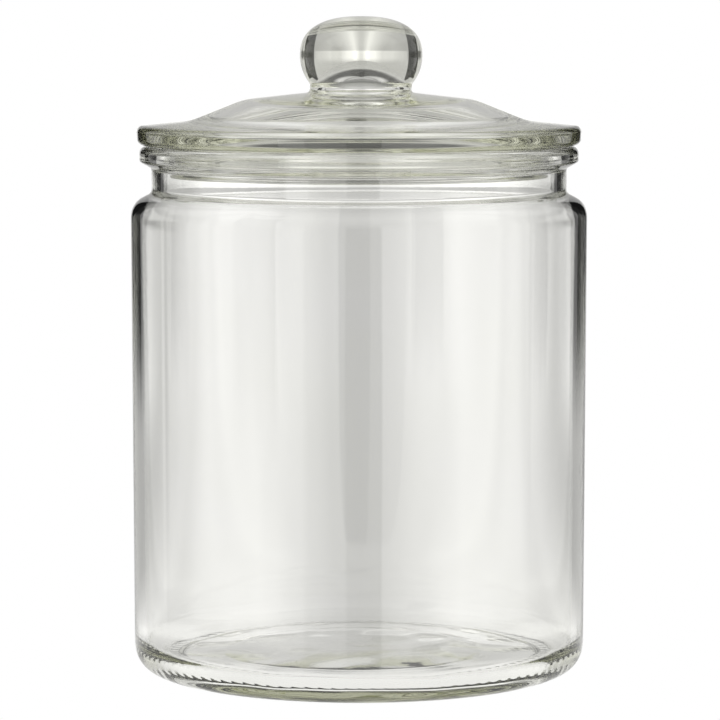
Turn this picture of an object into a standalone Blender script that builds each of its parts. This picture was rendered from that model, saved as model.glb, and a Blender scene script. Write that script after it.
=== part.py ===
"""Lidded glass canister: a blown glass jar, a pressed glass lid with a ball knob, and a clear sealing ring.

Metres, +Z up. The origin is the middle of the base, at the height that the jar stands on.
Every piece is turned about Z from an outline in the X-Z plane.
"""

import math

import bpy

# Driving dimensions of the jar
JAR_RADIUS = 0.0700
HEEL_RADIUS = 0.0694
WALL = 0.0034
RIM_HEIGHT = 0.1616
RIM_RADIUS = 0.0673
NECK_RADIUS = 0.0636
BORE_RADIUS = 0.0600
SHOULDER_HEIGHT = 0.1441
NECK_FOOT_HEIGHT = 0.1473
SHOULDER_THINNING = 0.0005
BEAD_HEIGHT = 0.0047
BEAD_SLOPE = 0.0021
HEEL_RUN = 0.0084
HEEL_RISE = 0.0092
HEEL_SQUARENESS = 2.25
BEARING_WIDTH = 0.0050
PUSH_UP = 0.0024
PUSH_UP_STEP_WIDTH = 0.0016
PUSH_UP_STEP_HEIGHT = 0.0011
FLOOR_HEIGHT = 0.0040
FLOOR_CROWN = 0.0031

# Radii that round the jar's corners
FLOOR_CORNER = 0.0070
INNER_SHOULDER_CORNER = 0.0048
INNER_NECK_CORNER = 0.0030
INNER_RIM_CORNER = 0.0013
RIM_CORNER = 0.0023
BEAD_CORNER = 0.0014
UNDER_BEAD_CORNER = 0.0013
NECK_CORNER = 0.0022
SHOULDER_CORNER = 0.0062

# Driving dimensions of the lid
SEAT_GAP = 0.0003
LID_RADIUS = 0.0684
FLANGE_THICKNESS = 0.0058
FLANGE_TAPER = 0.0004
CROWN_HEIGHT = 0.0157
CROWN_RADIUS = 0.0350
CROWN_FALL = 0.0018
COLLAR_STEP = 0.0002
DOME_FOOT_RADIUS = 0.0512
DOME_FOOT_RISE = 0.0017
SHELL = 0.0055
INNER_CROWN_INSET = 0.0022
INNER_CROWN_FALL = 0.0012
PLUG_RADIUS = 0.0570
PLUG_BORE_RADIUS = 0.0495
PLUG_BORE_TAPER = 0.0012
PLUG_BORE_RISE = 0.0020
PLUG_DEPTH = 0.0094
PLUG_BEAD = 0.0008
PLUG_BEAD_HEIGHT = 0.0009
PLUG_BEAD_SLOPE = 0.0005

# Radii that round the lid's corners
COLLAR_CORNER = 0.0010
CROWN_CORNER = 0.0200
DOME_FOOT_CORNER = 0.0160
FLANGE_TOP_CORNER = 0.0021
FLANGE_UNDER_CORNER = 0.0020
PLUG_ROOT_CORNER = 0.0006
PLUG_BEAD_CORNER = 0.0004
PLUG_END_CORNER = 0.0016
PLUG_BORE_CORNER = 0.0080
INNER_CROWN_CORNER = 0.0100

# Driving dimensions of the knob
KNOB_RADIUS = 0.0188
KNOB_FOOT_RADIUS = 0.0156
KNOB_MIDDLE_HEIGHT = 0.1891
KNOB_TOP_HEIGHT = 0.2010
KNOB_FOOT_HEIGHT = 0.1802
KNOB_LOWER_REACH = 0.0158
KNOB_SQUARENESS = 2.4
HOLLOW_RADIUS = 0.0112
HOLLOW_MOUTH_CORNER = 0.0020
HOLLOW_SHOULDER_HEIGHT = 0.1805
HOLLOW_TOP_HEIGHT = 0.1879

# Driving dimensions of the sealing ring
RING_GAP = 0.0003
RING_WEB = 0.0011
RING_HEIGHT = 0.0074
LIP_THICKNESS = 0.0012
LIP_SLOPE = 0.0007
LIP_LEVELS = (0.22, 0.70)

# How finely the round shapes are cut
TURN_STEPS = 48
ARC_STEP = math.radians(30)
HEEL_STEPS = 5
FLOOR_STEPS = 5
PUSH_UP_STEPS = 3
KNOB_UPPER_STEPS = 8
KNOB_LOWER_STEPS = 4
HOLLOW_STEPS = 4
MERGE_DISTANCE = 0.00001
EMPTY_SIZE = 0.02


def clear_scene():
    for old in list(bpy.data.objects):
        bpy.data.objects.remove(old)


def fillet(before, corner, after):
    """Points of the arc that rounds a corner (r, z, radius) between its two neighbours."""
    r, z, radius = corner
    if radius == 0:
        return [(r, z)]
    towards_before = math.atan2(before[1] - z, before[0] - r)
    towards_after = math.atan2(after[1] - z, after[0] - r)
    opening = math.remainder(towards_after - towards_before, math.tau)
    middle = towards_before + opening / 2
    reach = radius / math.sin(abs(opening) / 2)
    centre_r = r + reach * math.cos(middle)
    centre_z = z + reach * math.sin(middle)
    turn = math.copysign(math.pi - abs(opening), -opening)
    start = towards_before - math.copysign(math.pi / 2, opening)
    steps = max(2, math.ceil(abs(turn) / ARC_STEP))
    arc = []
    for step in range(steps + 1):
        angle = start + turn * step / steps
        arc.append((centre_r + radius * math.cos(angle), centre_z + radius * math.sin(angle)))
    return arc


def rounded(corners):
    """The outline through corners (r, z, fillet radius). The two ends stay where they are."""
    outline = [corners[0][:2]]
    for before, corner, after in zip(corners, corners[1:], corners[2:]):
        outline += fillet(before, corner, after)
    return outline + [corners[-1][:2]]


def dished(edge_radius, edge_height, rise, steps):
    """A shallow dish from the axis out towards its edge, highest in the middle, the edge point left out."""
    dish = []
    for step in range(steps):
        share = step / steps
        dish.append((edge_radius * share, edge_height + rise * (1 - share**2)))
    return dish


def heel():
    """Quarter of a squared-off ellipse from the wall down to the bearing ring."""
    power = 2 / HEEL_SQUARENESS
    points = []
    for step in range(HEEL_STEPS + 1):
        angle = math.pi / 2 * step / HEEL_STEPS
        r = HEEL_RADIUS - HEEL_RUN * (1 - max(math.cos(angle), 0) ** power)
        points.append((r, HEEL_RISE * (1 - math.sin(angle) ** power)))
    return points


def jar_outline():
    """From the middle of the floor up the inside, over the rim and down the outside."""
    floor_radius = HEEL_RADIUS - WALL
    under_bead = RIM_HEIGHT - BEAD_HEIGHT
    floor = dished(floor_radius, FLOOR_HEIGHT, FLOOR_CROWN, FLOOR_STEPS)
    walls = [
        (*floor[-1], 0),
        (floor_radius, FLOOR_HEIGHT, FLOOR_CORNER),
        (JAR_RADIUS - WALL, SHOULDER_HEIGHT - SHOULDER_THINNING, INNER_SHOULDER_CORNER),
        (BORE_RADIUS, NECK_FOOT_HEIGHT - SHOULDER_THINNING, INNER_NECK_CORNER),
        (BORE_RADIUS, RIM_HEIGHT, INNER_RIM_CORNER),
        (RIM_RADIUS, RIM_HEIGHT, RIM_CORNER),
        (RIM_RADIUS, under_bead, BEAD_CORNER),
        (NECK_RADIUS, under_bead - BEAD_SLOPE, UNDER_BEAD_CORNER),
        (NECK_RADIUS, NECK_FOOT_HEIGHT, NECK_CORNER),
        (JAR_RADIUS, SHOULDER_HEIGHT, SHOULDER_CORNER),
        (HEEL_RADIUS, HEEL_RISE, 0),
    ]
    ring_inner = HEEL_RADIUS - HEEL_RUN - BEARING_WIDTH
    push_up_radius = ring_inner - PUSH_UP_STEP_WIDTH
    push_up_rise = PUSH_UP - PUSH_UP_STEP_HEIGHT
    underside = [(ring_inner, 0), (push_up_radius, PUSH_UP_STEP_HEIGHT)]
    push_up = dished(push_up_radius, PUSH_UP_STEP_HEIGHT, push_up_rise, PUSH_UP_STEPS)
    return floor[:-1] + rounded(walls)[:-1] + heel() + underside + push_up[::-1]


def knob_outline():
    """The flattened ball, from its top down to just above its foot. Heights from the rim."""
    middle = KNOB_MIDDLE_HEIGHT - RIM_HEIGHT
    rise = KNOB_TOP_HEIGHT - KNOB_MIDDLE_HEIGHT
    power = 2 / KNOB_SQUARENESS
    points = [(0, middle + rise)]
    for step in range(1, KNOB_UPPER_STEPS + 1):
        angle = math.pi / 2 * (1 - step / KNOB_UPPER_STEPS)
        points.append((KNOB_RADIUS * math.cos(angle) ** power, middle + rise * math.sin(angle) ** power))
    lowest = math.acos(KNOB_FOOT_RADIUS / KNOB_RADIUS)
    for step in range(1, KNOB_LOWER_STEPS):
        angle = lowest * step / KNOB_LOWER_STEPS
        points.append((KNOB_RADIUS * math.cos(angle), middle - KNOB_LOWER_REACH * math.sin(angle)))
    return points


def hollow_dome():
    """Domed top of the hollow that reaches up into the knob, from its side to the axis. Heights from the rim."""
    rise = HOLLOW_TOP_HEIGHT - HOLLOW_SHOULDER_HEIGHT
    points = []
    for step in range(1, HOLLOW_STEPS):
        angle = math.pi / 2 * step / HOLLOW_STEPS
        height = HOLLOW_SHOULDER_HEIGHT - RIM_HEIGHT + rise * math.sin(angle)
        points.append((HOLLOW_RADIUS * math.cos(angle), height))
    return points + [(0, HOLLOW_TOP_HEIGHT - RIM_HEIGHT)]


def lid_outline():
    """From the top of the knob down the outside, round the plug and up inside. Heights from the rim."""
    under = SEAT_GAP
    crown = under + CROWN_HEIGHT
    flange_top = under + FLANGE_THICKNESS
    inner_crown = crown - SHELL
    plug_end = under - PLUG_DEPTH
    bead_radius = PLUG_RADIUS + PLUG_BEAD
    bead_top = plug_end + PLUG_BEAD_HEIGHT
    inner_edge = CROWN_RADIUS - INNER_CROWN_INSET
    corners = [
        (KNOB_FOOT_RADIUS, KNOB_FOOT_HEIGHT - RIM_HEIGHT, 0),
        (KNOB_FOOT_RADIUS, crown + COLLAR_STEP, COLLAR_CORNER),
        (CROWN_RADIUS, crown - CROWN_FALL, CROWN_CORNER),
        (DOME_FOOT_RADIUS, flange_top + DOME_FOOT_RISE, DOME_FOOT_CORNER),
        (LID_RADIUS, flange_top, FLANGE_TOP_CORNER),
        (LID_RADIUS - FLANGE_TAPER, under, FLANGE_UNDER_CORNER),
        (PLUG_RADIUS, under, PLUG_ROOT_CORNER),
        (PLUG_RADIUS, bead_top + PLUG_BEAD_SLOPE, 0),
        (bead_radius, bead_top, 0),
        (bead_radius, plug_end, PLUG_BEAD_CORNER),
        (PLUG_BORE_RADIUS, plug_end, PLUG_END_CORNER),
        (PLUG_BORE_RADIUS - PLUG_BORE_TAPER, under + PLUG_BORE_RISE, PLUG_BORE_CORNER),
        (inner_edge, inner_crown - INNER_CROWN_FALL, INNER_CROWN_CORNER),
        (HOLLOW_RADIUS, inner_crown, HOLLOW_MOUTH_CORNER),
        (HOLLOW_RADIUS, HOLLOW_SHOULDER_HEIGHT - RIM_HEIGHT, 0),
    ]
    return knob_outline() + rounded(corners) + hollow_dome()


def ring_outline():
    """Closed outline of the sealing ring: a web with two soft lips. Heights from the rim."""
    inner = PLUG_RADIUS + RING_GAP
    web = inner + RING_WEB
    lip = BORE_RADIUS - RING_GAP
    top = SEAT_GAP - RING_GAP
    outline = [(inner, top), (web, top)]
    for level in LIP_LEVELS:
        height = top - RING_HEIGHT * level
        outline += [
            (web, height),
            (lip, height - LIP_SLOPE),
            (lip, height - LIP_THICKNESS),
            (web, height - LIP_THICKNESS),
        ]
    return outline + [(web, top - RING_HEIGHT), (inner, top - RING_HEIGHT)]


def clear(name, tint, roughness):
    """A see-through material: tint, roughness and full transmission on its Principled shader."""
    material = bpy.data.materials.new(name)
    material.use_nodes = True
    shader = material.node_tree.nodes["Principled BSDF"]
    shader.inputs["Base Color"].default_value = (*tint, 1)
    shader.inputs["Roughness"].default_value = roughness
    shader.inputs["Metallic"].default_value = 0
    shader.inputs["Transmission Weight"].default_value = 1
    return material


def turned(name, outline, material, closed=False):
    """One solid, its outline turned a full circle about Z."""
    points = [(r, 0, z) for r, z in outline]
    edges = [(i, i + 1) for i in range(len(points) - 1)]
    if closed:
        edges.append((len(points) - 1, 0))
    mesh = bpy.data.meshes.new(name)
    mesh.from_pydata(points, edges, [])
    mesh.materials.append(material)
    piece = bpy.data.objects.new(name, mesh)
    bpy.context.scene.collection.objects.link(piece)
    screw = piece.modifiers.new("turn", "SCREW")
    screw.axis = "Z"
    screw.angle = math.tau
    screw.steps = TURN_STEPS
    screw.render_steps = TURN_STEPS
    screw.use_smooth_shade = True
    screw.use_merge_vertices = True
    screw.merge_threshold = MERGE_DISTANCE
    return piece


def axis_empty(name, height, parent=None):
    """An empty on the canister's axis, at a height above its parent, for a joint."""
    empty = bpy.data.objects.new(name, None)
    empty.empty_display_size = EMPTY_SIZE
    empty.location = (0, 0, height)
    empty.parent = parent
    bpy.context.scene.collection.objects.link(empty)
    return empty


def build():
    clear_scene()
    clear_glass = clear("clear_glass", (0.93, 0.95, 0.92), 0.02)
    clear_plastic = clear("clear_plastic", (0.92, 0.93, 0.92), 0.25)

    turned("glass_jar", jar_outline(), clear_glass)

    lift = axis_empty("lid_lift", RIM_HEIGHT)
    turn = axis_empty("lid_turn", 0, parent=lift)
    sealing_ring = turned("sealing_ring", ring_outline(), clear_plastic, closed=True)
    sealing_ring.parent = lift
    lid = turned("glass_lid", lid_outline(), clear_glass)
    lid.parent = turn


build()
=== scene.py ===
"""Looks of the lidded glass canister.

Fine turned glass, procedural materials, a studio that only the glass sees, white paper and the camera.
Lengths are in metres, unless a comment says otherwise.
"""

import math

import bpy
import numpy as np
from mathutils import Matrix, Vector, noise


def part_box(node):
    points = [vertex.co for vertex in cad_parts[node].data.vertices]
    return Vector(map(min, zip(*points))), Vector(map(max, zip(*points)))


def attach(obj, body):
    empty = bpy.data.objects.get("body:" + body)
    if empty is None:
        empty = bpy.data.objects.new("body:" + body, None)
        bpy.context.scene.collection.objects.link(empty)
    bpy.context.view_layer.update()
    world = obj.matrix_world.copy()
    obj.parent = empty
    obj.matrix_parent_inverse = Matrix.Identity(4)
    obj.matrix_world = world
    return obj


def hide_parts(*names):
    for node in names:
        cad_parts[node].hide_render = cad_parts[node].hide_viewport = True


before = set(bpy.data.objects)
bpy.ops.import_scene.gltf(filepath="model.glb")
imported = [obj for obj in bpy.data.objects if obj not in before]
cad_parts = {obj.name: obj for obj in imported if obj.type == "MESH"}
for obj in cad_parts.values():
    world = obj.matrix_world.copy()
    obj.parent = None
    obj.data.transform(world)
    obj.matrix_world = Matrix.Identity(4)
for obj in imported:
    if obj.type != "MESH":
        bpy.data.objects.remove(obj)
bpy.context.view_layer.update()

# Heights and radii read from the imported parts. The clearance keeps the uneven glass inside the CAD box.
JAR_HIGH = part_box("glass_jar")[1]
LID_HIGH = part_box("glass_lid")[1]
RING_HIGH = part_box("sealing_ring")[1]
RIM = JAR_HIGH.z
LID_TOP = LID_HIGH.z
RING_TOP = RING_HIGH.z
RING_OUTER = RING_HIGH.x
BOX_CLEARANCE = 0.00006
JAR_RADIUS = JAR_HIGH.x - BOX_CLEARANCE
LID_RADIUS = LID_HIGH.x - BOX_CLEARANCE

# Jar: wall, neck and rim
WALL = 0.0034
RIM_RADIUS = 0.0673
RIM_CORNER = 0.0023
BEAD_HEIGHT = 0.0047
BEAD_CORNER = 0.0014
BEAD_SLOPE = 0.0021
NECK_RADIUS = 0.0636
NECK_TOP_CORNER = 0.0013
NECK_FOOT_HEIGHT = 0.1473
NECK_FOOT_CORNER = 0.0022
SHOULDER_HEIGHT = 0.1441
SHOULDER_CORNER = 0.0062
BORE_RADIUS = 0.0600
MOUTH_CORNER = 0.0013
INNER_DROP = 0.0005
INNER_NECK_CORNER = 0.0030
INNER_SHOULDER_CORNER = 0.0048
WALL_STEP = 0.0050

# Jar: heel, bearing ring, pushed-up base and floor
HEEL_RADIUS = 0.0694
HEEL_RUN = 0.0084
HEEL_RISE = 0.0092
HEEL_SQUARENESS = 2.25
HEEL_STEPS = 16
BEARING_WIDTH = 0.0050
BEARING_STEP = 0.0007
PUSH_UP = 0.0024
PUSH_UP_EDGE = 0.0011
PUSH_UP_RUN = 0.0016
PUSH_UP_STEPS = 50
FLOOR_HEIGHT = 0.0040
FLOOR_CROWN = 0.00325
FLOOR_CORNER = 0.0070
FLOOR_STEPS = 30
FLOOR_STEPS_INSIDE_CORNER = 26
RING_OUT = HEEL_RADIUS - HEEL_RUN
RING_IN = RING_OUT - BEARING_WIDTH

# Knurled grooves under the bearing ring
KNURLS = 96
KNURL_DEPTH = 0.00035
KNURL_LEAN = 0.5

# Unevenness of the jar's glass, with angles in radians, and the limits of its zones
THICK_SIDE = 0.9
INNER_OFFSET = 0.00012
INNER_RIPPLE = 0.00014
QUICK_SHARE = 0.35
OUTER_RIPPLE = 0.00002
SEAM_ANGLE = math.radians(-146)
SEAM_HEIGHT = 0.00005
FLOOR_RIPPLE = 0.00030
FLOOR_STILL_RADIUS = 0.02
SWIRL_GROWTH = 2.0
RIDGE_SHARE = 0.4
BASE_SHARE = 0.5
MOULD_RING_RADIUS = 0.0395
MOULD_RING_WIDTH = 0.0008
MOULD_RING_DEPTH = 0.00012
MOULD_RING_MIDDLE = (-0.0020, -0.0020)
CALM_BELOW_RIM = 0.03
CALMEST = 0.1
FLOOR_ZONE_TOP = FLOOR_HEIGHT + FLOOR_CROWN + 0.0005
BASE_ZONE_RADIUS = RING_IN - 0.0010
BASE_ZONE_TOP = PUSH_UP + 0.001
PLAIN_ZONE_TOP = 0.0006
SLACK = 0.0001

# Lid
SEAT_GAP = 0.0003
FLANGE_THICKNESS = 0.0058
FLANGE_TAPER = 0.0004
FLANGE_CORNER = 0.0021
FLANGE_UNDER_CORNER = 0.0020
CROWN_HEIGHT = 0.0157
CROWN_RADIUS = 0.0350
CROWN_DROP = 0.0018
CROWN_CORNER = 0.0200
DOME_FOOT_RADIUS = 0.0512
DOME_FOOT_RISE = 0.0017
DOME_FOOT_CORNER = 0.0160
SHELL = 0.0055
INNER_CROWN_STEP = 0.0022
INNER_CROWN_DROP = 0.0012
INNER_CROWN_CORNER = 0.0100
PLUG_RADIUS = 0.0570
PLUG_ROOT_CORNER = 0.0006
PLUG_DEPTH = 0.0094
PLUG_BEAD = 0.0008
PLUG_BEAD_START = 0.0014
PLUG_BEAD_WIDEST = 0.0009
PLUG_BEAD_CORNER = 0.0004
PLUG_BORE_RADIUS = 0.0495
PLUG_BORE_CORNER = 0.0016
PLUG_BORE_STEP = 0.0012
PLUG_BORE_RISE = 0.0020
PLUG_BORE_SWEEP = 0.0080
LID_STEP = 0.0016
LID_RIPPLE = 0.000012

# Knob and the hollow under it
KNOB_RADIUS = 0.0188
KNOB_FOOT_RADIUS = 0.0156
KNOB_MIDDLE_HEIGHT = 0.1891
KNOB_FOOT_HEIGHT = 0.1802
KNOB_FOOT_CORNER = 0.0010
KNOB_ROOT_RISE = 0.0002
KNOB_LOWER_REACH = 0.0158
KNOB_SQUARENESS = 2.4
KNOB_UPPER_STEPS = 30
KNOB_LOWER_STEPS = 12
KNOB_OFFSET = 0.00065
KNOB_LEAN_RUN = 0.006
KNOB_LEAN_START = 0.003
HOLLOW_RADIUS = 0.0112
HOLLOW_MOUTH_CORNER = 0.0020
HOLLOW_SHOULDER_HEIGHT = 0.1805
HOLLOW_TOP_HEIGHT = 0.1882
HOLLOW_STEPS = 12

# Sealing ring
RING_GAP = 0.0003
RING_WEB = 0.0011
RING_HEIGHT = 0.0074
LIP_THICKNESS = 0.0012
LIP_SLOPE = 0.6
LIP_LEVELS = (0.22, 0.70)

# Fineness of the turned meshes
JAR_SIDES = 5 * KNURLS
LID_SIDES = 384
RING_SIDES = 256
ARC_STEP = math.radians(9)

# Glass: absorption per metre, depth of the fine unevenness, and roughness where it isn't clean
GLASS_IOR = 1.52
GLASS_TINTS = ((1.0, 1.0, 1.0), (0.990, 0.991, 0.984))
GLASS_DEPTH_TINT = (0.865, 0.872, 0.76)
JAR_DENSITY = 21.0
LID_DENSITY = 18.0
JAR_UNEVENNESS = 0.000005
LID_UNEVENNESS = 0.0000012
UPRIGHT_SMEARS = (1.0, 1.0, 0.45)
UPRIGHT_STREAKS = (1.0, 1.0, 0.12)
SMEAR_ROUGHNESS = 0.012
SPECK_ROUGHNESS = 0.02
SCUFF_ROUGHNESS = (0.02, 0.09)
RUBBED_GRAIN = 0.000008
RUBBED_FOOT = (-0.001, 0.0003)
RUBBED_PLUG_END = (-0.0003, 0.0001)
RUBBED_FADE = 0.0002

# Plastic
PLASTIC_IOR = 1.36
PLASTIC_TINTS = ((1.0, 1.0, 0.99), (0.97, 0.97, 0.96))
PLASTIC_DEPTH_TINT = (0.9, 0.9, 0.85)
PLASTIC_DENSITY = 5.0
PLASTIC_ROUGHNESS = (0.0, 0.02)
FLOW_LINES = (0.2, 0.2, 1.0)
FLOW_LINE_DEPTH = 0.000003

# Radiance of the table's back and sides, by millimetres off the middle line as the empty jar spreads them
SPREAD_STOPS = [
    (0, 0.64), (8, 0.66), (22, 0.82), (34, 1.00), (44, 0.97), (58, 0.84), (80, 0.72), (105, 0.60),
    (140, 0.48), (200, 0.44),
]
SPREAD_START = 0.91
SPREAD_GROWTH = 1.5
MILLIMETRES = 1000
FRONT_RADIANCE = 0.90
FRONT_STEP = (-0.10, 0.25)
# Factor on it further out, by degrees from straight behind the jar
FAR_FACTOR = [
    (0, 1), (14, 1), (22, 1.2), (28, 1.1), (38, 0.95), (43, 1.5), (49, 2.7), (58, 2.2), (64, 1.2),
    (116, 1.2), (124, 1.8), (134, 2.0), (136, 1.35), (180, 1.30),
]
FAR_REACH = (0.45, 1.00)
# A second factor past the reach where the jar's wall shows the table
DISTANT_FACTOR = [
    (0, 1.45), (1.5, 1.45), (3.4, 1.35), (6, 1.45), (9, 1.7), (16, 1.7), (24, 1.5), (36, 1.4), (42, 0.5),
    (46, 0.18), (70, 0.18), (80, 1.0), (180, 1.0),
]
DISTANT_REACH = (2.4, 3.4)
# Edges of the lamps beside the camera: where each line crosses the X axis, and its slope
RIGHT_EDGE = (-0.0072, -0.203)
LEFT_EDGE = (0.0188, 0.5226)
DIM_EDGE = (0.0041, 0.1157)
EDGE_SOFTNESS = 0.012
DIM_SHARE = 0.55
GAP_SHARE = 0.04
GAP_REACH = (0.07, 0.16)
# Radiance above the horizon, by degrees of elevation, behind the jar and to its sides
BACK_RISE = [(0, 0.58), (14, 0.54), (24, 0.54), (34, 0.60), (40, 0.30), (46, 0.12), (90, 0.10)]
SIDE_RISE = [(0, 0.86), (12, 0.80), (24, 0.80), (30, 1.20), (46, 1.20), (56, 0.90), (70, 0.60), (90, 0.45)]
# How much a direction counts as to the side, by degrees from straight behind the jar
SIDENESS = [(0, 0), (45, 0), (65, 1), (82, 1), (86, 0.5), (94, 0.5), (98, 1), (180, 1)]
HORIZON_BLEND = (0.5, 6)
BELOW_BLEND = (-14, -12)
BELOW_RADIANCE = 0.45
LIGHT_TINT = (1.0, 0.996, 0.985)
WHITE = (1, 1, 1)

# Stage: the table that the glass sees, the paper that the camera sees, and the dark cards
TABLE_RADIUS = 5.0
TABLE_LEVEL = -0.0003
FLOOR_PAPER_RADIUS = 6.0
FLOOR_PAPER_LEVEL = -0.0004
DISC_SIDES = 96
BACKDROP_RADIUS = 5.5
BACKDROP_DROP = 0.001
BACKDROP_SIDES = 64
BACKDROP_RINGS = 16
FLAG_COUNT = 3
FLAG_SPAN = (0.117, 0.177)
FLAG_DISTANCE = 0.167
FLAG_HEIGHTS = (0.040, 0.270)
FLAG_FADE = (0.045, 0.100)
FLAG_RADIANCE = 0.02

# Camera: lens and sensor in millimetres
CAMERA_PLACE = (0.00030, -1.19544, 0.21143)
CAMERA_PITCH = math.radians(84.46)
CAMERA_LENS = 194.97
SENSOR = 36.0
CLIP_RANGE = (0.05, 50)
LIGHT_BOUNCES = 32
MIRROR_BOUNCES = 16


# ---------------------------------------------------------------- outlines


def fillet(before, corner, after):
    """Points of the arc that rounds a corner (r, z, radius) between its two neighbours."""
    r, z, radius = corner
    if radius == 0:
        return [(r, z)]
    towards_before = math.atan2(before[1] - z, before[0] - r)
    towards_after = math.atan2(after[1] - z, after[0] - r)
    opening = math.remainder(towards_after - towards_before, math.tau)
    middle = towards_before + opening / 2
    reach = radius / math.sin(abs(opening) / 2)
    centre_r = r + reach * math.cos(middle)
    centre_z = z + reach * math.sin(middle)
    turn = math.copysign(math.pi - abs(opening), -opening)
    start = towards_before - math.copysign(math.pi / 2, opening)
    steps = max(3, math.ceil(abs(turn) / ARC_STEP))
    arc = []
    for step in range(steps + 1):
        angle = start + turn * step / steps
        arc.append((centre_r + radius * math.cos(angle), centre_z + radius * math.sin(angle)))
    return arc


def rounded(corners):
    """The outline through corners (r, z, fillet radius). The two ends stay where they are."""
    outline = [corners[0][:2]]
    for before, corner, after in zip(corners, corners[1:], corners[2:]):
        outline += fillet(before, corner, after)
    return outline + [corners[-1][:2]]


def divided(outline, longest):
    """The outline with every run cut into steps no longer than this."""
    fine = [outline[0]]
    for (r0, z0), (r1, z1) in zip(outline, outline[1:]):
        pieces = max(1, math.ceil(math.hypot(r1 - r0, z1 - z0) / longest))
        for step in range(1, pieces + 1):
            share = step / pieces
            fine.append((r0 + (r1 - r0) * share, z0 + (z1 - z0) * share))
    return fine


def dished(edge_radius, edge_height, rise, steps):
    """A shallow dish from the axis out to its edge, highest in the middle, edge point left out."""
    dish = []
    for step in range(steps):
        share = step / steps
        dish.append((edge_radius * share, edge_height + rise * (1 - share**2)))
    return dish


def heel():
    """Quarter of a squared-off ellipse from the wall down to the bearing ring."""
    power = 2 / HEEL_SQUARENESS
    points = []
    for step in range(HEEL_STEPS + 1):
        angle = math.pi / 2 * step / HEEL_STEPS
        r = HEEL_RADIUS - HEEL_RUN * (1 - max(math.cos(angle), 0) ** power)
        points.append((r, HEEL_RISE * (1 - math.sin(angle) ** power)))
    return points


def jar_outline():
    """From the middle of the floor up the inside, over the rim and down the outside to the push-up."""
    floor_radius = HEEL_RADIUS - WALL
    floor = dished(floor_radius, FLOOR_HEIGHT, FLOOR_CROWN, FLOOR_STEPS)[:FLOOR_STEPS_INSIDE_CORNER]
    walls = rounded([
        (*floor[-1], 0),
        (floor_radius, FLOOR_HEIGHT, FLOOR_CORNER),
        (JAR_RADIUS - WALL, SHOULDER_HEIGHT - INNER_DROP, INNER_SHOULDER_CORNER),
        (BORE_RADIUS, NECK_FOOT_HEIGHT - INNER_DROP, INNER_NECK_CORNER),
        (BORE_RADIUS, RIM, MOUTH_CORNER),
        (RIM_RADIUS, RIM, RIM_CORNER),
        (RIM_RADIUS, RIM - BEAD_HEIGHT, BEAD_CORNER),
        (NECK_RADIUS, RIM - BEAD_HEIGHT - BEAD_SLOPE, NECK_TOP_CORNER),
        (NECK_RADIUS, NECK_FOOT_HEIGHT, NECK_FOOT_CORNER),
        (JAR_RADIUS, SHOULDER_HEIGHT, SHOULDER_CORNER),
        (HEEL_RADIUS, HEEL_RISE, 0),
    ])
    walls = divided(walls, WALL_STEP)
    push_up_radius = RING_IN - PUSH_UP_RUN
    bearing = divided([(RING_OUT, 0), (RING_IN, 0), (push_up_radius, PUSH_UP_EDGE)], BEARING_STEP)[1:]
    push_up = dished(push_up_radius, PUSH_UP_EDGE, PUSH_UP - PUSH_UP_EDGE, PUSH_UP_STEPS)[::-1]
    return floor[:-1] + walls[:-1] + heel() + bearing + push_up


def knob_outline():
    """The flattened ball, from its top down to its foot."""
    rise = LID_TOP - KNOB_MIDDLE_HEIGHT
    power = 2 / KNOB_SQUARENESS
    points = [(0, LID_TOP)]
    for step in range(1, KNOB_UPPER_STEPS + 1):
        angle = math.pi / 2 * (1 - step / KNOB_UPPER_STEPS)
        height = KNOB_MIDDLE_HEIGHT + rise * math.sin(angle) ** power
        points.append((KNOB_RADIUS * math.cos(angle) ** power, height))
    lowest = math.acos(KNOB_FOOT_RADIUS / KNOB_RADIUS)
    for step in range(1, KNOB_LOWER_STEPS):
        angle = lowest * step / KNOB_LOWER_STEPS
        height = KNOB_MIDDLE_HEIGHT - KNOB_LOWER_REACH * math.sin(angle)
        points.append((KNOB_RADIUS * math.cos(angle), height))
    return points


def hollow_dome():
    """The rounded top of the hollow under the knob, from its shoulder to the axis."""
    dome = []
    for step in range(1, HOLLOW_STEPS):
        angle = math.pi / 2 * step / HOLLOW_STEPS
        rise = (HOLLOW_TOP_HEIGHT - HOLLOW_SHOULDER_HEIGHT) * math.sin(angle)
        dome.append((HOLLOW_RADIUS * math.cos(angle), HOLLOW_SHOULDER_HEIGHT + rise))
    return dome + [(0, HOLLOW_TOP_HEIGHT)]


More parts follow.
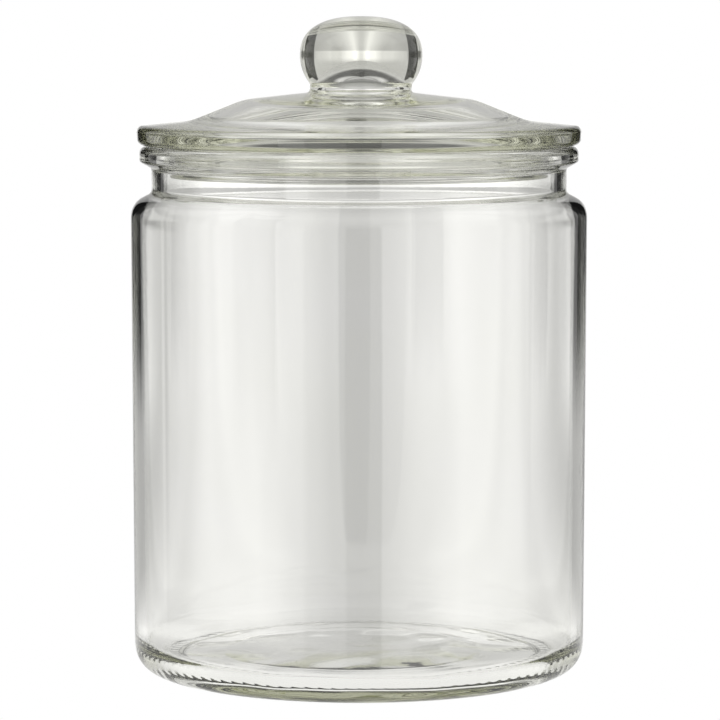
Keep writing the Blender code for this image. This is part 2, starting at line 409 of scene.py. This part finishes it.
def lid_outline():
    """From the top of the knob down the outside, round the plug and up inside."""
    under = RIM + SEAT_GAP
    crown = under + CROWN_HEIGHT
    flange_top = under + FLANGE_THICKNESS
    inner_crown = crown - SHELL
    plug_end = under - PLUG_DEPTH
    corners = [
        (KNOB_FOOT_RADIUS, KNOB_FOOT_HEIGHT, 0),
        (KNOB_FOOT_RADIUS, crown + KNOB_ROOT_RISE, KNOB_FOOT_CORNER),
        (CROWN_RADIUS, crown - CROWN_DROP, CROWN_CORNER),
        (DOME_FOOT_RADIUS, flange_top + DOME_FOOT_RISE, DOME_FOOT_CORNER),
        (LID_RADIUS, flange_top, FLANGE_CORNER),
        (LID_RADIUS - FLANGE_TAPER, under, FLANGE_UNDER_CORNER),
        (PLUG_RADIUS, under, PLUG_ROOT_CORNER),
        (PLUG_RADIUS, plug_end + PLUG_BEAD_START, 0),
        (PLUG_RADIUS + PLUG_BEAD, plug_end + PLUG_BEAD_WIDEST, 0),
        (PLUG_RADIUS + PLUG_BEAD, plug_end, PLUG_BEAD_CORNER),
        (PLUG_BORE_RADIUS, plug_end, PLUG_BORE_CORNER),
        (PLUG_BORE_RADIUS - PLUG_BORE_STEP, under + PLUG_BORE_RISE, PLUG_BORE_SWEEP),
        (CROWN_RADIUS - INNER_CROWN_STEP, inner_crown - INNER_CROWN_DROP, INNER_CROWN_CORNER),
        (HOLLOW_RADIUS, inner_crown, HOLLOW_MOUTH_CORNER),
        (HOLLOW_RADIUS, HOLLOW_SHOULDER_HEIGHT, 0),
    ]
    return knob_outline() + divided(rounded(corners), LID_STEP) + hollow_dome()


def ring_outline():
    """Closed outline of the sealing ring: a web with two soft lips."""
    inner = PLUG_RADIUS + RING_GAP
    web = inner + RING_WEB
    outline = [(inner, RING_TOP), (web, RING_TOP)]
    for level in LIP_LEVELS:
        height = RING_TOP - RING_HEIGHT * level
        outline += [
            (web, height),
            (RING_OUTER, height - LIP_THICKNESS * LIP_SLOPE),
            (RING_OUTER, height - LIP_THICKNESS),
            (web, height - LIP_THICKNESS),
        ]
    return outline + [(web, RING_TOP - RING_HEIGHT), (inner, RING_TOP - RING_HEIGHT)]


# ---------------------------------------------------------------- meshes


def outward(outline, closed):
    """Unit normals of an outline in the r-z plane, pointing out of the solid."""
    points = np.array(outline)
    if closed:
        along = np.roll(points, -1, 0) - np.roll(points, 1, 0)
    else:
        along = np.gradient(points, axis=0)
    normals = np.stack([-along[:, 1], along[:, 0]], 1)
    return normals / np.linalg.norm(normals, axis=1)[:, None]


def add_mesh(name, points, faces, material):
    """A mesh object in the scene, all of one material."""
    mesh = bpy.data.meshes.new(name)
    mesh.from_pydata(points, [], faces)
    mesh.materials.append(material)
    piece = bpy.data.objects.new(name, mesh)
    bpy.context.scene.collection.objects.link(piece)
    return piece


def turned(name, outline, sides, material, shift=None, closed=False):
    """A smooth mesh of the outline turned about Z.

    Each point moves along its normal by shift(angle, r, z, index), with index its place in the outline.
    """
    normals = outward(outline, closed)
    points, rows = [], []
    for index, (r, z) in enumerate(outline):
        if r == 0:
            rows.append([len(points)] * sides)
            points.append((0, 0, z))
            continue
        row = []
        for side in range(sides):
            angle = math.tau * side / sides
            move = shift(angle, r, z, index) if shift else 0
            reach = r + move * normals[index][0]
            row.append(len(points))
            points.append((reach * math.cos(angle), reach * math.sin(angle), z + move * normals[index][1]))
        rows.append(row)
    faces = []
    pairs = list(zip(rows, rows[1:]))
    if closed:
        pairs.append((rows[-1], rows[0]))
    for upper, lower in pairs:
        for side in range(sides):
            after = (side + 1) % sides
            face = [upper[side], upper[after], lower[after], lower[side]]
            faces.append(list(dict.fromkeys(face))[::-1])
    piece = add_mesh(name, points, faces, material)
    piece.data.shade_smooth()
    return piece


# ---------------------------------------------------------------- materials


class Graph:
    """Short calls that add nodes to a node tree."""

    def __init__(self, tree):
        self.tree = tree

    def put(self, socket, value):
        """Sets a socket to a number, or links it to another socket."""
        if isinstance(value, (int, float)):
            socket.default_value = value
        else:
            self.tree.links.new(value, socket)

    def maths(self, operation, first, second=0.0):
        node = self.tree.nodes.new("ShaderNodeMath")
        node.operation = operation
        self.put(node.inputs[0], first)
        self.put(node.inputs[1], second)
        return node.outputs[0]

    def ramp(self, value, low, high):
        """Smoothly 0 below low and 1 above high."""
        node = self.tree.nodes.new("ShaderNodeMapRange")
        node.interpolation_type = "SMOOTHSTEP"
        self.put(node.inputs["Value"], value)
        node.inputs["From Min"].default_value = low
        node.inputs["From Max"].default_value = high
        return node.outputs["Result"]

    def band(self, value, low, high, soft):
        """Smoothly 1 between low and high, and 0 past soft outside them."""
        rise = self.ramp(value, low - soft, low)
        fall = self.ramp(value, high, high + soft)
        return self.maths("SUBTRACT", rise, fall)

    def mix(self, share, first, second):
        """first where share is 0 and second where it is 1."""
        node = self.tree.nodes.new("ShaderNodeMix")
        node.data_type = "FLOAT"
        self.put(node.inputs[0], share)
        self.put(node.inputs[2], first)
        self.put(node.inputs[3], second)
        return node.outputs[0]

    def colours(self, share, first, second):
        """The first colour where share is 0 and the second where it is 1."""
        node = self.tree.nodes.new("ShaderNodeMix")
        node.data_type = "RGBA"
        self.put(node.inputs[0], share)
        node.inputs[6].default_value = (*first, 1)
        node.inputs[7].default_value = (*second, 1)
        return node.outputs[2]

    def curve(self, value, stops):
        """Straight lines between stops (value, result), level before the first and after the last."""
        first, last = stops[0][0], stops[-1][0]
        node = self.tree.nodes.new("ShaderNodeValToRGB")
        self.put(node.inputs["Fac"], self.maths("DIVIDE", self.maths("SUBTRACT", value, first), last - first))
        ramp = node.color_ramp
        while len(ramp.elements) < len(stops):
            ramp.elements.new(0.5)
        for element, (place, _) in zip(ramp.elements, stops):
            element.position = (place - first) / (last - first)
        for element, (_, result) in zip(ramp.elements, stops):
            element.color = (result, result, result, 1)
        return node.outputs["Color"]

    def coordinates(self, kind="Object"):
        return self.tree.nodes.new("ShaderNodeTexCoord").outputs[kind]

    def axes(self, place):
        """The X, Y and Z of a place or direction."""
        node = self.tree.nodes.new("ShaderNodeSeparateXYZ")
        self.tree.links.new(place, node.inputs["Vector"])
        return node.outputs

    def stretched(self, place, scale):
        """The place multiplied by one factor for each axis."""
        node = self.tree.nodes.new("ShaderNodeVectorMath")
        node.operation = "MULTIPLY"
        self.tree.links.new(place, node.inputs[0])
        node.inputs[1].default_value = scale
        return node.outputs["Vector"]

    def noise(self, place, scale, detail=2.0, roughness=0.5):
        node = self.tree.nodes.new("ShaderNodeTexNoise")
        self.tree.links.new(place, node.inputs["Vector"])
        node.inputs["Scale"].default_value = scale
        node.inputs["Detail"].default_value = detail
        node.inputs["Roughness"].default_value = roughness
        return node.outputs["Fac"]

    def bump(self, height, distance, before=None):
        """The normal bent by a height field, on top of an earlier bump if there is one."""
        node = self.tree.nodes.new("ShaderNodeBump")
        node.inputs["Strength"].default_value = 1.0
        node.inputs["Distance"].default_value = distance
        self.tree.links.new(height, node.inputs["Height"])
        if before:
            self.tree.links.new(before, node.inputs["Normal"])
        return node.outputs["Normal"]

    def glow(self, colour, strength):
        """Light of one colour that comes straight off the surface."""
        node = self.tree.nodes.new("ShaderNodeEmission")
        node.inputs["Color"].default_value = (*colour, 1)
        self.put(node.inputs["Strength"], strength)
        return node.outputs["Emission"]


def clear_material(name, ior, depth_tint, density):
    """A see-through material with its absorption set, and the graph, shader and place to go on with."""
    material = bpy.data.materials.new(name)
    material.use_nodes = True
    tree = material.node_tree
    shader = tree.nodes["Principled BSDF"]
    shader.inputs["IOR"].default_value = ior
    shader.inputs["Transmission Weight"].default_value = 1
    volume = tree.nodes.new("ShaderNodeVolumeAbsorption")
    volume.inputs["Color"].default_value = (*depth_tint, 1)
    volume.inputs["Density"].default_value = density
    output = tree.nodes["Material Output"]
    tree.links.new(volume.outputs["Volume"], output.inputs["Volume"])
    graph = Graph(tree)
    return material, graph, shader, graph.coordinates()


def glass_material(name, density, rubbed_low, rubbed_high, unevenness):
    """Pressed soda glass: fine orange peel, streaks and smears, and rubbed glass between two heights."""
    material, graph, shader, place = clear_material(name, GLASS_IOR, GLASS_DEPTH_TINT, density)
    clouds = graph.ramp(graph.noise(place, scale=22.0, detail=3.0), low=0.35, high=0.65)
    graph.put(shader.inputs["Base Color"], graph.colours(clouds, *GLASS_TINTS))

    wiped = graph.noise(graph.stretched(place, UPRIGHT_SMEARS), scale=38.0, detail=4.0, roughness=0.6)
    smears = graph.maths("MULTIPLY", graph.ramp(wiped, low=0.56, high=0.80), SMEAR_ROUGHNESS)
    dust = graph.ramp(graph.noise(place, scale=900.0), low=0.70, high=0.80)
    specks = graph.maths("MULTIPLY", dust, SPECK_ROUGHNESS)
    scuffs = graph.mix(graph.noise(place, scale=1500.0, detail=3.0, roughness=0.7), *SCUFF_ROUGHNESS)
    rubbed = graph.band(graph.axes(place)["Z"], rubbed_low, rubbed_high, RUBBED_FADE)
    graph.put(shader.inputs["Roughness"], graph.mix(rubbed, graph.maths("ADD", smears, specks), scuffs))

    peel = graph.noise(place, scale=260.0)
    streaks = graph.noise(graph.stretched(place, UPRIGHT_STREAKS), scale=110.0)
    grain = graph.maths("MULTIPLY", graph.noise(place, scale=2600.0), rubbed)
    normal = graph.bump(peel, unevenness)
    normal = graph.bump(streaks, unevenness, normal)
    graph.put(shader.inputs["Normal"], graph.bump(grain, RUBBED_GRAIN, normal))
    return material


def plastic_material(name):
    """Clear soft plastic, faintly hazy, with faint flow lines."""
    material, graph, shader, place = clear_material(name, PLASTIC_IOR, PLASTIC_DEPTH_TINT, PLASTIC_DENSITY)
    tint = graph.colours(graph.noise(place, scale=60.0), *PLASTIC_TINTS)
    graph.put(shader.inputs["Base Color"], tint)
    haze = graph.mix(graph.noise(place, scale=400.0, detail=3.0), *PLASTIC_ROUGHNESS)
    graph.put(shader.inputs["Roughness"], haze)
    lines = graph.noise(graph.stretched(place, FLOW_LINES), scale=2000.0)
    graph.put(shader.inputs["Normal"], graph.bump(lines, FLOW_LINE_DEPTH))
    return material


def light_material(name):
    """An empty material for the stage, with its graph and the socket that takes its surface."""
    material = bpy.data.materials.new(name)
    material.use_nodes = True
    material.cycles.emission_sampling = "NONE"
    tree = material.node_tree
    tree.nodes.clear()
    output = tree.nodes.new("ShaderNodeOutputMaterial")
    return material, Graph(tree), output.inputs["Surface"]


def paper_material():
    material, graph, surface = light_material("white_paper")
    graph.put(surface, graph.glow(WHITE, 1.0))
    return material


def table_material():
    material, graph, surface = light_material("table_top")
    x, y, _ = graph.axes(graph.coordinates())
    graph.put(surface, graph.glow(LIGHT_TINT, table_radiance(graph, x, y)))
    return material


def flag_material():
    """Black, fading to nothing at its lower edge."""
    material, graph, surface = light_material("flag_black")
    mixed = graph.tree.nodes.new("ShaderNodeMixShader")
    low, high = FLAG_FADE
    graph.put(mixed.inputs[0], graph.ramp(graph.axes(graph.coordinates())["Z"], low, high))
    graph.put(mixed.inputs[1], graph.tree.nodes.new("ShaderNodeBsdfTransparent").outputs[0])
    graph.put(mixed.inputs[2], graph.glow(WHITE, FLAG_RADIANCE))
    graph.put(surface, mixed.outputs[0])
    return material


# ---------------------------------------------------------------- stage


def azimuth_of(graph, x, y):
    """Degrees away from +Y, to either side."""
    return graph.maths("ABSOLUTE", graph.maths("DEGREES", graph.maths("ARCTAN2", x, y)))


def edge_of(graph, x, y, reach, line, side):
    """1 on one side of a line across the table and 0 on the other, with a soft step."""
    crossing = graph.maths("ADD", graph.maths("MULTIPLY", y, line[1]), line[0])
    beyond = graph.maths("MULTIPLY", graph.maths("SUBTRACT", x, crossing), side)
    return graph.ramp(graph.maths("DIVIDE", beyond, reach), -EDGE_SOFTNESS, EDGE_SOFTNESS)


def table_radiance(graph, x, y):
    """Radiance of the table at (x, y) metres from the jar's axis: a pale table between lamps."""
    across = graph.maths("ABSOLUTE", x)
    along = graph.maths("ABSOLUTE", y)
    nearer = graph.maths("MINIMUM", across, along)
    further = graph.maths("MAXIMUM", across, along)
    squared = graph.maths("ADD", graph.maths("MULTIPLY", x, x), graph.maths("MULTIPLY", y, y))
    reach = graph.maths("SQRT", squared)

    widening = graph.maths("ADD", graph.maths("MULTIPLY", further, SPREAD_GROWTH), SPREAD_START)
    spread = graph.maths("MULTIPLY", graph.maths("DIVIDE", nearer, widening), MILLIMETRES)
    forward = graph.maths("SUBTRACT", graph.maths("MULTIPLY", y, -1), across)
    front = graph.ramp(graph.maths("DIVIDE", forward, reach), *FRONT_STEP)
    lit = graph.mix(front, graph.curve(spread, SPREAD_STOPS), FRONT_RADIANCE)
    for stops, fade in ((FAR_FACTOR, FAR_REACH), (DISTANT_FACTOR, DISTANT_REACH)):
        factor = graph.curve(azimuth_of(graph, x, y), stops)
        lit = graph.maths("MULTIPLY", lit, graph.mix(graph.ramp(reach, *fade), 1.0, factor))

    right = edge_of(graph, x, y, reach, RIGHT_EDGE, 1)
    left = edge_of(graph, x, y, reach, LEFT_EDGE, -1)
    dim = graph.maths("MULTIPLY", edge_of(graph, x, y, reach, DIM_EDGE, -1), DIM_SHARE)
    open_share = graph.maths("MAXIMUM", graph.maths("MAXIMUM", right, left), dim)
    gap = graph.mix(graph.ramp(reach, *GAP_REACH), 1.0, GAP_SHARE)
    return graph.maths("MULTIPLY", lit, graph.mix(open_share, gap, 1.0))


def add_world():
    """The studio that the glass shows: the table carried on to the horizon, and soft lamps above it."""
    world = bpy.data.worlds.new("studio")
    bpy.context.scene.world = world
    world.use_nodes = True
    world.cycles.sampling_method = "NONE"
    tree = world.node_tree
    tree.nodes.clear()
    graph = Graph(tree)
    x, y, z = graph.axes(graph.coordinates("Generated"))
    far_x = graph.maths("MULTIPLY", x, TABLE_RADIUS)
    far_y = graph.maths("MULTIPLY", y, TABLE_RADIUS)
    horizon = table_radiance(graph, far_x, far_y)
    elevation = graph.maths("DEGREES", graph.maths("ARCSINE", z))
    sideness = graph.curve(azimuth_of(graph, x, y), SIDENESS)
    upper = graph.mix(sideness, graph.curve(elevation, BACK_RISE), graph.curve(elevation, SIDE_RISE))
    above = graph.mix(graph.ramp(elevation, *HORIZON_BLEND), horizon, upper)
    total = graph.mix(graph.ramp(elevation, *BELOW_BLEND), BELOW_RADIANCE, above)
    background = tree.nodes.new("ShaderNodeBackground")
    background.inputs["Color"].default_value = (*LIGHT_TINT, 1)
    graph.put(background.inputs["Strength"], total)
    output = tree.nodes.new("ShaderNodeOutputWorld")
    graph.put(output.inputs["Surface"], background.outputs["Background"])


def circle(radius, height, sides):
    """Points round the Z axis."""
    points = []
    for side in range(sides):
        angle = math.tau * side / sides
        points.append((radius * math.cos(angle), radius * math.sin(angle), height))
    return points


def disc(name, radius, height, material):
    points = [(0, 0, height)] + circle(radius, height, DISC_SIDES)
    faces = [(0, 1 + side, 1 + (side + 1) % DISC_SIDES) for side in range(DISC_SIDES)]
    return add_mesh(name, points, faces, material)


def backdrop(name, material):
    """A dome round the floor."""
    points = []
    for ring in range(BACKDROP_RINGS + 1):
        lift = math.pi / 2 * ring / BACKDROP_RINGS
        height = BACKDROP_RADIUS * math.sin(lift) - BACKDROP_DROP
        points += circle(BACKDROP_RADIUS * math.cos(lift), height, BACKDROP_SIDES)
    faces = []
    for ring in range(BACKDROP_RINGS):
        lower = ring * BACKDROP_SIDES
        upper = lower + BACKDROP_SIDES
        for side in range(BACKDROP_SIDES):
            after = (side + 1) % BACKDROP_SIDES
            faces.append((lower + side, lower + after, upper + after, upper + side))
    return add_mesh(name, points, faces, material)


def flag(name, turn, material):
    """A dark L-shaped card off one corner of the jar, which gives the glass its dark edges."""
    near, far = FLAG_SPAN
    low, high = FLAG_HEIGHTS
    wings = (
        ((near, FLAG_DISTANCE), (far, FLAG_DISTANCE)),
        ((FLAG_DISTANCE, near), (FLAG_DISTANCE, far)),
    )
    points, faces = [], []
    for wing in wings:
        start = len(points)
        for x, y in wing:
            turned_x = x * math.cos(turn) - y * math.sin(turn)
            turned_y = x * math.sin(turn) + y * math.cos(turn)
            points += [(turned_x, turned_y, low), (turned_x, turned_y, high)]
        faces.append((start, start + 2, start + 3, start + 1))
    card = add_mesh(name, points, faces, material)
    card.visible_camera = False
    card.visible_shadow = False
    return card


def add_stage():
    """White paper that only the camera sees, and the table and cards that only the glass sees."""
    white = paper_material()
    floor = disc("floor", FLOOR_PAPER_RADIUS, FLOOR_PAPER_LEVEL, white)
    dome = backdrop("backdrop", white)
    for paper in (floor, dome):
        paper.visible_glossy = False
        paper.visible_transmission = False
        paper.visible_diffuse = False
        paper.visible_shadow = False
    table = disc("table", TABLE_RADIUS, TABLE_LEVEL, table_material())
    table.visible_camera = False
    black = flag_material()
    for turn in range(FLAG_COUNT):
        flag(f"flag_{turn}", math.tau * turn / 4, black)


def add_camera():
    data = bpy.data.cameras.new("camera")
    data.lens = CAMERA_LENS
    data.sensor_width = SENSOR
    data.clip_start, data.clip_end = CLIP_RANGE
    camera = bpy.data.objects.new("camera", data)
    camera.location = CAMERA_PLACE
    camera.rotation_euler = (CAMERA_PITCH, 0, 0)
    bpy.context.scene.collection.objects.link(camera)
    bpy.context.scene.camera = camera


# ---------------------------------------------------------------- unevenness


def swell(angle, r, z, width, height, seed):
    """Slow unevenness between -1 and 1 over patches of this width and height."""
    place = Vector((r * math.cos(angle) / width, r * math.sin(angle) / width, z / height + seed))
    return noise.noise(place)


def seam(angle, middle):
    """1 on a mould seam and 0 a side's width from it."""
    off = abs(math.remainder(angle - middle, math.tau))
    return max(0.0, 1 - off / (math.tau / JAR_SIDES))


def bump_at(value, middle, width):
    """1 at the middle, falling smoothly to 0 within about twice the width."""
    return math.exp(-(((value - middle) / width) ** 2))


def bearing_shift(angle, r):
    """The knurled grooves, deepest halfway across the bearing ring."""
    across = (r - RING_IN) / BEARING_WIDTH
    depth = math.sin(math.pi * min(max(across, 0), 1))
    wave = 0.5 - 0.5 * math.cos(KNURLS * angle + math.tau * KNURL_LEAN * across)
    return -KNURL_DEPTH * depth * wave


def floor_shift(angle, r, z):
    """Ripples on the inside of the floor, stronger in a swirl at the back right, and a low ridge round it."""
    ripple = swell(angle, r, z, width=0.014, height=0.05, seed=3.7) * min(r / FLOOR_STILL_RADIUS, 1.0)
    swirl_x = bump_at(r * math.cos(angle), middle=0.030, width=0.014)
    swirl_y = bump_at(r * math.sin(angle), middle=0.020, width=0.030)
    ridge = bump_at(r, middle=0.0520, width=0.0020)
    growth = 1 + SWIRL_GROWTH * (swirl_x * swirl_y)
    return FLOOR_RIPPLE * ripple * growth + RIDGE_SHARE * FLOOR_RIPPLE * ridge


def wall_shift(angle, r, z):
    """The inside of the wall: uneven, and thicker on one side."""
    slow = swell(angle, r, z, width=0.045, height=0.10, seed=0.0)
    quick = swell(angle, r, z, width=0.012, height=0.07, seed=9.1)
    return INNER_RIPPLE * (slow + QUICK_SHARE * quick) + INNER_OFFSET * math.cos(angle - THICK_SIDE)


def base_shift(angle, r, z):
    """The pushed-up base, with the mark that the mould left."""
    off_x = r * math.cos(angle) - MOULD_RING_MIDDLE[0]
    off_y = r * math.sin(angle) - MOULD_RING_MIDDLE[1]
    mark = bump_at(math.hypot(off_x, off_y), MOULD_RING_RADIUS, MOULD_RING_WIDTH)
    ripple = swell(angle, r, z, width=0.02, height=0.05, seed=5.2)
    return -MOULD_RING_DEPTH * mark + BASE_SHARE * FLOOR_RIPPLE * ripple


def outside_shift(angle, r, z):
    """The outside of the jar, with two mould seams."""
    side = OUTER_RIPPLE * (swell(angle, r, z, width=0.05, height=0.09, seed=6.3) - 1.0)
    seams = seam(angle, SEAM_ANGLE) + seam(angle, SEAM_ANGLE + math.pi)
    return side + SEAM_HEIGHT * min(seams, 1.0)


def jar_shift(inner_points):
    """The jar's unevenness, a function for turned(). The outline's first inner_points are inside the jar."""

    def shift(angle, r, z, index):
        if z <= SLACK and RING_IN - SLACK <= r <= RING_OUT + SLACK:
            return bearing_shift(angle, r)
        calm = min(1.0, max(CALMEST, (RIM - z) / CALM_BELOW_RIM))
        if index < inner_points and z < FLOOR_ZONE_TOP:
            return floor_shift(angle, r, z)
        if index < inner_points:
            return calm * wall_shift(angle, r, z)
        if r < BASE_ZONE_RADIUS and z < BASE_ZONE_TOP:
            return base_shift(angle, r, z)
        if z < PLAIN_ZONE_TOP:
            return 0.0
        return calm * outside_shift(angle, r, z)

    return shift


def lid_shift(angle, r, z, _):
    """Faint unevenness of pressed glass."""
    return LID_RIPPLE * swell(angle, r, z, width=0.018, height=0.018, seed=2.4)


def lean_knob(lid):
    """The knob and its hollow sit a little off the middle of the lid."""
    lowest = RIM + CROWN_HEIGHT - SHELL + KNOB_LEAN_START
    for vertex in lid.data.vertices:
        x, y, z = vertex.co
        if z > lowest and math.hypot(x, y) <= KNOB_RADIUS + 2 * SLACK:
            share = min(max((z - KNOB_FOOT_HEIGHT) / KNOB_LEAN_RUN + 1.0, 0.0), 1.0)
            vertex.co.x += KNOB_OFFSET * share


# ---------------------------------------------------------------- assembly


def build():
    plug_rubbed = [RIM + SEAT_GAP - PLUG_DEPTH + height for height in RUBBED_PLUG_END]
    jar_glass = glass_material("jar_glass", JAR_DENSITY, *RUBBED_FOOT, JAR_UNEVENNESS)
    lid_glass = glass_material("lid_glass", LID_DENSITY, *plug_rubbed, LID_UNEVENNESS)
    plastic = plastic_material("ring_plastic")
    outline = jar_outline()
    inner_points = next(index for index, point in enumerate(outline) if point[1] >= RIM - 0.000001)
    jar = turned("canister_jar", outline, JAR_SIDES, jar_glass, jar_shift(inner_points))
    lid = turned("canister_lid", lid_outline(), LID_SIDES, lid_glass, lid_shift)
    lean_knob(lid)
    ring = turned("canister_seal", ring_outline(), RING_SIDES, plastic, closed=True)
    for piece, body, node, slot in (
        (jar, "jar", "glass_jar", "clear_glass"),
        (lid, "lid", "glass_lid", "clear_glass"),
        (ring, "seal", "sealing_ring", "clear_plastic"),
    ):
        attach(piece, body)
        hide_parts(node)


build()
add_stage()
add_world()
add_camera()
scene = bpy.context.scene
scene.view_settings.view_transform = "Standard"
scene.cycles.max_bounces = LIGHT_BOUNCES
scene.cycles.transmission_bounces = LIGHT_BOUNCES
scene.cycles.glossy_bounces = MIRROR_BOUNCES
